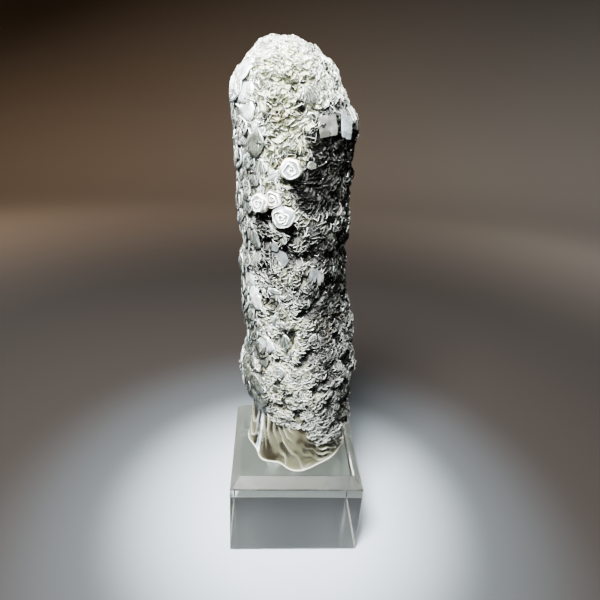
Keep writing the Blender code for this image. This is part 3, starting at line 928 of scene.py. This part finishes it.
height, azimuth = spread(PETAL_SPACING, PETAL_JITTER, PETALS_LOW)
points = outside(height, azimuth)
stray = petal_share(points) < 0.5
kept = ~stray | (rng.uniform(0, 1, len(points)) < STRAY_PETALS)
kept &= clear_of_features(points, PETAL_CLEARANCE)
kept &= (height > crust_end(azimuth) + PETALS_OVER_END) & (height < PETALS_HIGH)
height, azimuth, points, stray = height[kept], azimuth[kept], points[kept], stray[kept]
normals = outward(height, azimuth)
length = rng.uniform(*PETAL_LENGTH, len(points)) * np.where(stray, STRAY_SIZE, 1)
large = np.array(LARGE_PETALS)
height, azimuth = large[:, 0] * MM, large[:, 1]
small_count, count = len(points), len(points) + len(large)
points = np.concatenate([points, outside(height, azimuth)])
normals = np.concatenate([normals, outward(height, azimuth)])
length = np.concatenate([length, large[:, 2] * MM])
tilt = rng.uniform(*PETAL_TILT, small_count), rng.uniform(*LARGE_PETAL_TILT, len(large))
tilt = np.concatenate(tilt)
spin = 180 + np.concatenate([rng.normal(0, PETAL_TURNS, small_count), -large[:, 4]])
places = stands(points, normals, spin, 0, length, length)
slim = np.concatenate([rng.uniform(*PETAL_SLIMNESS, small_count), large[:, 3]])
y_axis, z_axis = places[:, :, 1], places[:, :, 2]
lift = np.radians(tilt)[:, None]
places[:, :, 1] = y_axis * np.cos(lift) + z_axis * np.sin(lift)
places[:, :, 2] = z_axis * np.cos(lift) - y_axis * np.sin(lift)
places[:, :, 0] *= slim[:, None]
rise = 0.5 * length * np.sin(np.radians(tilt))  # of its middle over its fixed edge
under = np.where(large[:, 1] < CLEARED, *LARGE_PETAL_DEPTHS)
under = np.concatenate([rng.uniform(*PETAL_DEPTH, small_count), under]) * MM
places[:, :, 3] = points - normals * (rise + under)[:, None] - y_axis * PETAL_OVERHANG
small = points[:small_count]
low = 1 - eased(small[:, 2] - SEAT, *PETAL_GREY_FROM)
grey = rng.uniform(*PETAL_GREY, small_count) + PETAL_GREY_LOWER * low
grey = np.maximum(grey, np.maximum(PETAL_GREY_THERE * darkness(small), patch_grey(small)))
grey = np.concatenate([grey, large[:, 5] + PETAL_GREY_LOWER])
values = {"shade": grey, "tint": rng.uniform(*PETAL_TINT, count)}
shapes = rng.integers(0, len(PETAL_SHAPES), count)
shapes[small_count:] = rng.choice((1, 3), len(large))
petal_mesh = joined("petals", [
    (petal(*shape), places[shapes == n], {key: each[shapes == n] for key, each in values.items()})
    for n, shape in enumerate(PETAL_SHAPES)
])
left_side = cad_box[0][0] + PETAL_MARGIN
for vert in petal_mesh.vertices:
    past = left_side - vert.co.x
    if past > 0:  # petals that would stand out past the column's left side lie closer to it
        vert.co.x = left_side - PETAL_PRESS * (1 - math.exp(-past / PETAL_PRESS))
petal_mesh.shade_smooth()
# Milky quartz: broad glossy plates, thin enough for light to come through. They are pale at
# the edge, streaked from the root, and olive-grey where they lie over the dark.
petal_quartz = make_quartz_material(
    "milky_petal_quartz", ("#cad0d1", "#898f91"), ("#33362f", "#2e312b"), 0.22, 1.0, streaked=True
)
let_light_in(petal_quartz, 0.35, 0.8 * MM)
add_piece("petals", petal_mesh, petal_quartz)

# ---------------------------------------------------------------------------------------------
# The foot: the bare end of the column under the crust. It is banded chalcedony, cream and
# brown, in slanting flutes with a glossy, waxy surface, and a pale skin runs round its edge.

# Angle in degrees and radius in millimetres on the block, and where its middle is
FOOT_OUTLINE = np.array([
    (-180, 19.8),
    (-155, 18.2),
    (-134, 19.9),
    (-115, 17.8),
    (-94, 20.4),
    (-60, 18.1),
    (-32, 18.3),
    (0, 19.6),
    (45, 18.6),
    (90, 19.2),
    (140, 18.4),
    (180, 19.8),
])
FOOT_MIDDLE = (0.6 * MM, 1.5 * MM)
FOOT_HEIGHT = 22 * MM
FOOT_NARROWING = 0.12  # share of the radius lost at its top
FOOT_BEDDING = 0.1 * MM  # how far it reaches into the block's face, so that no gap shows
FLUTE_DEPTH = 0.9 * MM
FLUTE_WIDTH = 17.0  # degrees
FLUTE_SLANT = (8, 115)  # degrees of turn over the foot's height, on its left and on its right
FLUTE_WANDER = (26, 6)  # degrees by which they wander, in broad waves and in short ones
FLUTE_FADE = 0.08  # share of the foot's height over which they start
EDGE_SKIN = 0.35 * MM
SKIN_LIP = 0.25 * MM  # how far it stands out
GLINT_START, GLINT_END = (-170, -158), (-146, -136)  # angles between which a painted glint fades: white streaks of light on the glossy flutes

bm = bmesh.new()
bmesh.ops.create_grid(bm, x_segments=300, y_segments=70, size=0.5)
grid = np.array([vert.co for vert in bm.verts])
angle, level = grid[:, 0] * 360, grid[:, 1] + 0.5
ring = np.stack([np.cos(np.radians(angle)), np.sin(np.radians(angle)), 0.5 * level], -1)
slant = FLUTE_SLANT[0] + (FLUTE_SLANT[1] - FLUTE_SLANT[0]) * eased(angle, -160, -25)
slant = slant * (1 - eased(angle, 60, 170))
flow = angle + slant * level
flow = flow + FLUTE_WANDER[0] * ruffle(ring, 0.5, 4) + FLUTE_WANDER[1] * ruffle(ring, 0.2, 5)
ridge = 1 - np.abs(np.sin(np.radians(flow) * 180 / FLUTE_WIDTH))
fine = 1 - np.abs(np.sin(np.radians(flow) * 180 / FLUTE_WIDTH * 2.7 + 1))
flute = ridge**2.2 * (0.66 + 0.7 * ruffle(ring, 0.35, 6)) + 0.12 * fine**2 - 0.5
radius = eased_through(FOOT_OUTLINE, angle) * MM * (1 - FOOT_NARROWING * level**0.8)
radius = radius + FLUTE_DEPTH * flute * eased(level, 0, FLUTE_FADE)
skin = 1 - eased(level * FOOT_HEIGHT, 0.4 * EDGE_SKIN, 1.2 * EDGE_SKIN)
radius += SKIN_LIP * skin
foot_points = np.stack([
    FOOT_MIDDLE[0] + radius * ring[:, 0],
    FOOT_MIDDLE[1] + radius * ring[:, 1],
    SEAT - FOOT_BEDDING + FOOT_HEIGHT * level,
], -1)
streaks = np.clip(0.6 + 0.7 * ruffle(ring * [1, 1, 0.3], 0.1, 7), 0, 1)
painted_glint = eased(angle, *GLINT_START) * (1 - eased(angle, *GLINT_END)) * streaks
layers = [bm.verts.layers.float.new(name) for name in ("band", "skin", "painted_glint")]
for number, vert in enumerate(bm.verts):
    vert.co = foot_points[number]
    for layer, each in zip(layers, (flute, skin, painted_glint)):
        vert[layer] = each[number]
bmesh.ops.remove_doubles(bm, verts=bm.verts, dist=0.01 * MM)
foot_mesh = closed_mesh(bm, "foot")
foot_mesh.shade_smooth()
foot_mesh.set_sharp_from_angle(angle=math.radians(60))

BAND_SIZE = 7 * MM  # of the olive and brown areas in its hollows


def make_chalcedony():
    """Banded chalcedony: waxy and glossy, cream on the ridges, and darker brown in the hollows between
    the flutes.
    """
    made, tree, shader = new_material("banded_chalcedony")
    band = add(tree, "Attribute", output="Fac", attribute_name="band")
    skin = add(tree, "Attribute", output="Fac", attribute_name="skin")
    painted_glint = add(tree, "Attribute", output="Fac", attribute_name="painted_glint")
    place = add(tree, "TexCoord", output="Object")
    deep = add(tree, "TexNoise", {"Vector": place, "Scale": 1 / BAND_SIZE, "Detail": 1.0})
    deep = add(tree, "MapRange", {0: deep, 1: 0.4, 2: 0.6}, **SMOOTH)
    hollow = add(tree, "Mix", {0: deep, 6: "#38382a", 7: "#120f09"}, 2, **COLOURS)
    face = add(tree, "MapRange", {0: band, 1: -0.5, 2: -0.05}, **SMOOTH)
    face = add(tree, "Mix", {0: face, 6: hollow, 7: "#45463a"}, 2, **COLOURS)
    ridges = add(tree, "MapRange", {0: band, 1: -0.1, 2: 0.6}, **SMOOTH)
    body = add(tree, "Mix", {0: ridges, 6: face, 7: "#919387"}, 2, **COLOURS)
    # Painted glint: bluish-white streaks where the light catches the left of the foot
    glint_share = add(tree, "MapRange", {0: painted_glint, 1: 0.3, 2: 1.0}, **SMOOTH)
    body = add(tree, "Mix", {0: glint_share, 6: body, 7: "#9aa3ac"}, 2, **COLOURS)
    body = add(tree, "Mix", {0: skin, 6: body, 7: "#b1b0a2"}, 2, **COLOURS)
    tree.links.new(body, shader.inputs["Base Color"])
    shader.inputs["Roughness"].default_value = 0.16
    shader.inputs["IOR"].default_value = QUARTZ_IOR
    return made


add_piece("foot", foot_mesh, make_chalcedony())

# ---------------------------------------------------------------------------------------------
# The block: cast acrylic, cut square, with a slanted bevel round its top, and flame polished.
# It is clear, with crisp edges, and very slightly green through its thickness.

POLISHED, MACHINED, SCUFFED = 0.015, 0.27, 0.16  # roughness of its sides, bevel and underside
BEVEL_HEIGHT = 3.6 * MM
BROKEN_EDGE = 0.2 * MM  # over which one finish turns to the next
ACRYLIC_IOR = 1.49


def make_acrylic():
    """Cast acrylic, clear and polished: a hard gloss, and the floor and wall bent through it.
    Its bevel keeps the cutter's faint haze, and its underside is scuffed from standing."""
    made, tree, shader = new_material("cast_acrylic")
    shader.inputs["Base Color"].default_value = linear("#f6f8ec")
    place = add(tree, "TexCoord", output="Object")
    height = add(tree, "SeparateXYZ", {0: place}, "Z")
    inputs = {0: height, 1: 0.1 * MM, 2: 0.1 * MM + BROKEN_EDGE, 3: SCUFFED, 4: POLISHED}
    scuffed = add(tree, "MapRange", inputs, **SMOOTH)
    inputs = {0: height, 1: SEAT - BEVEL_HEIGHT, 2: SEAT - BEVEL_HEIGHT + BROKEN_EDGE}
    over_side = add(tree, "MapRange", inputs, **SMOOTH)
    inputs = {0: height, 1: SEAT - BROKEN_EDGE, 2: SEAT - BROKEN_EDGE / 2, 3: 1.0, 4: 0.0}
    under_top = add(tree, "MapRange", inputs, **SMOOTH)
    bevel = add(tree, "Math", {0: over_side, 1: under_top}, operation="MULTIPLY")
    bevel = add(tree, "Math", {0: bevel, 1: MACHINED}, operation="MULTIPLY")
    rough = add(tree, "Math", {0: scuffed, 1: bevel}, operation="MAXIMUM")
    tree.links.new(rough, shader.inputs["Roughness"])
    shader.inputs["IOR"].default_value = ACRYLIC_IOR
    shader.inputs["Transmission Weight"].default_value = 1.0
    return made


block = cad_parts["acrylic_block"]
block.data.materials.clear()
block.data.materials.append(make_acrylic())

# ---------------------------------------------------------------------------------------------
# The floor: a sheet of paper that curves up into a round wall, all in one. Round the block it
# is painted as a pool of light, grey and falling off to near black beyond it, and the wall is a
# warm taupe. Then the lights.

FLOOR_GAP = 0.6 * MM  # under the block. The next three are in metres.
FLOOR_RADIUS = 0.55
SWEEP_RADIUS = 0.30
WALL_TOP = 1.3

bm = bmesh.new()
profile = [(0, 0)] + [(FLOOR_RADIUS * (n + 1) / 12, 0) for n in range(12)]
for n in range(1, 17):
    turn = math.pi / 2 * n / 16
    profile.append((FLOOR_RADIUS + SWEEP_RADIUS * math.sin(turn), SWEEP_RADIUS * (1 - math.cos(turn))))
profile.append((FLOOR_RADIUS + SWEEP_RADIUS, WALL_TOP))
verts = [bm.verts.new((x, 0, z - FLOOR_GAP)) for x, z in profile]
edges = [bm.edges.new(pair) for pair in zip(verts, verts[1:])]
bmesh.ops.spin(bm, geom=verts + edges, cent=(0, 0, 0), axis=(0, 0, 1), angle=2 * math.pi, steps=96,
               use_merge=True)
bmesh.ops.remove_doubles(bm, verts=bm.verts, dist=0.1 * MM)
sheet_mesh = bpy.data.meshes.new("floor")
bm.to_mesh(sheet_mesh)
bm.free()
sheet_mesh.shade_smooth()
floor = bpy.data.objects.new("floor", sheet_mesh)
bpy.context.scene.collection.objects.link(floor)

# Painted paper: quite matt, with no gloss of its own, so that it mirrors none of the lights.
# Distances and heights are in metres.
made, tree, shader = new_material("painted_paper")
place = add(tree, "TexCoord", output="Object")
side = add(tree, "SeparateXYZ", {0: place}, "X")
height = add(tree, "SeparateXYZ", {0: place}, "Z")
flat = add(tree, "VectorMath", {0: place, 1: (1, 1, 0)}, operation="MULTIPLY")
away = add(tree, "VectorMath", {0: flat}, "Value", operation="LENGTH")
wall = add(tree, "MapRange", {0: side, 1: -0.6, 2: 0.6}, **SMOOTH)
wall = add(tree, "Mix", {0: wall, 6: "#6b5642", 7: "#5c5751"}, 2, **COLOURS)
# Painted pool of light: grey near the block, darkening outwards where the light falls off
light_pool_falloff = add(tree, "MapRange", {0: away, 1: 0.026, 2: 0.088}, **SMOOTH)
paint = add(tree, "Mix", {0: light_pool_falloff, 6: "#767d82", 7: "#2b2e30"}, 2, **COLOURS)
light_pool_fade_far = add(tree, "MapRange", {0: away, 1: 0.06, 2: 0.14}, **SMOOTH)
paint = add(tree, "Mix", {0: light_pool_fade_far, 6: paint, 7: "#181513"}, 2, **COLOURS)
behind = add(tree, "MapRange", {0: away, 1: 0.25, 2: 0.8}, **SMOOTH)
paint = add(tree, "Mix", {0: behind, 6: paint, 7: wall}, 2, **COLOURS)
above = add(tree, "MapRange", {0: height, 1: 0.3, 2: 0.7}, **SMOOTH)
paint = add(tree, "Mix", {0: above, 6: paint, 7: "#151517"}, 2, **COLOURS)
tree.links.new(paint, shader.inputs["Base Color"])
shader.inputs["Roughness"].default_value = 0.95
shader.inputs["Specular IOR Level"].default_value = 0.05
sheet_mesh.materials.append(made)

ROOM_LIGHT, ROOM_STRENGTH = "#b4b4b6", 0.2
# Name, place and width in metres, power in watts, colour
LIGHTS = (
    ("key", (-0.08, -0.155, 0.37), 0.105, 12.1, "#ffffff"),
    ("fill", (0.35, -0.45, 0.30), 0.40, 0.3, "#eef2f6"),
    ("back_right", (0.50, 0.42, 0.28), 0.20, 3.0, "#f4f4f2"),
    ("back_left", (-0.50, 0.40, 0.28), 0.20, 4.6, "#f4f4f2"),
)
LIGHTS_AIM = Vector((0, 0, 0.1))
LIGHTS_BEAM = math.radians(120)

world = bpy.data.worlds.new("studio")
bpy.context.scene.world = world
world.use_nodes = True
world.node_tree.nodes["Background"].inputs["Color"].default_value = linear(ROOM_LIGHT)
world.node_tree.nodes["Background"].inputs["Strength"].default_value = ROOM_STRENGTH
for name, place, width, power, colour in LIGHTS:
    light = bpy.data.lights.new(name, "AREA")
    light.size = width
    light.energy = power
    light.color = linear(colour)[:3]
    light.spread = LIGHTS_BEAM
    made = bpy.data.objects.new(name, light)
    made.location = place
    made.rotation_euler = (LIGHTS_AIM - Vector(place)).to_track_quat("-Z", "Y").to_euler()
    bpy.context.scene.collection.objects.link(made)
